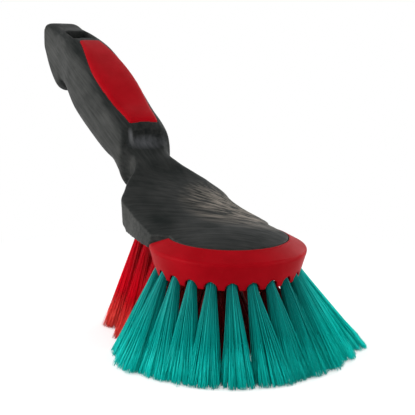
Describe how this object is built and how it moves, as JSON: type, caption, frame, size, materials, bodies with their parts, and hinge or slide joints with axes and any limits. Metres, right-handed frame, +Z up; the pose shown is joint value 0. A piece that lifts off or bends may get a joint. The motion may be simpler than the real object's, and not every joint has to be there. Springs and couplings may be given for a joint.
{
  "type": "wash brush",
  "caption": "Hand wash brush with a raised handle, hang slot, soft grip, round head with a soft rim bumper and splayed bristle tufts.",
  "frame": {"origin": "on the surface that the bristle tips stand on, under the centre of the round head", "axes": "+Z up, +Y from the head along the handle, X across, and the brush is symmetric about X = 0"},
  "size_m": [0.1558, 0.3376, 0.1918],
  "materials": {
    "black_plastic": "fine moulded grain, slightly satin",
    "red_rubber": "soft, satin",
    "green_bristle": "fine filaments, split and paler at the tips",
    "red_bristle": "fine filaments, paler at the tips",
    "anchor_steel": "flat wire"
  },
  "bodies": {
    "root": {"handle_body": "black_plastic", "rim_bumper": "red_rubber", "grip_insert": "red_rubber", "tuft_green_01": "green_bristle", "tuft_green_02": "green_bristle", "tuft_green_03": "green_bristle", "tuft_green_04": "green_bristle", "tuft_green_05": "green_bristle", "tuft_green_06": "green_bristle", "tuft_green_07": "green_bristle", "tuft_green_08": "green_bristle", "tuft_green_09": "green_bristle", "tuft_green_10": "green_bristle", "tuft_green_11": "green_bristle", "tuft_green_12": "green_bristle", "tuft_green_13": "green_bristle", "tuft_green_14": "green_bristle", "tuft_rear_01": "red_bristle", "tuft_rear_02": "red_bristle", "tuft_rear_03": "red_bristle", "tuft_rear_04": "red_bristle", "tuft_rear_05": "red_bristle", "tuft_rear_06": "red_bristle", "tuft_rear_07": "red_bristle", "tuft_rear_08": "red_bristle", "tuft_rear_09": "red_bristle", "tuft_rear_10": "red_bristle", "tuft_inner_01": "red_bristle", "tuft_inner_02": "red_bristle", "tuft_inner_03": "red_bristle", "tuft_centre": "red_bristle", "anchor_green_01": "anchor_steel", "anchor_green_02": "anchor_steel", "anchor_green_03": "anchor_steel", "anchor_green_04": "anchor_steel", "anchor_green_05": "anchor_steel", "anchor_green_06": "anchor_steel", "anchor_green_07": "anchor_steel", "anchor_green_08": "anchor_steel", "anchor_green_09": "anchor_steel", "anchor_green_10": "anchor_steel", "anchor_green_11": "anchor_steel", "anchor_green_12": "anchor_steel", "anchor_green_13": "anchor_steel", "anchor_green_14": "anchor_steel", "anchor_rear_01": "anchor_steel", "anchor_rear_02": "anchor_steel", "anchor_rear_03": "anchor_steel", "anchor_rear_04": "anchor_steel", "anchor_rear_05": "anchor_steel", "anchor_rear_06": "anchor_steel", "anchor_rear_07": "anchor_steel", "anchor_rear_08": "anchor_steel", "anchor_rear_09": "anchor_steel", "anchor_rear_10": "anchor_steel", "anchor_inner_01": "anchor_steel", "anchor_inner_02": "anchor_steel", "anchor_inner_03": "anchor_steel", "anchor_centre": "anchor_steel"}
  },
  "joints": []
}
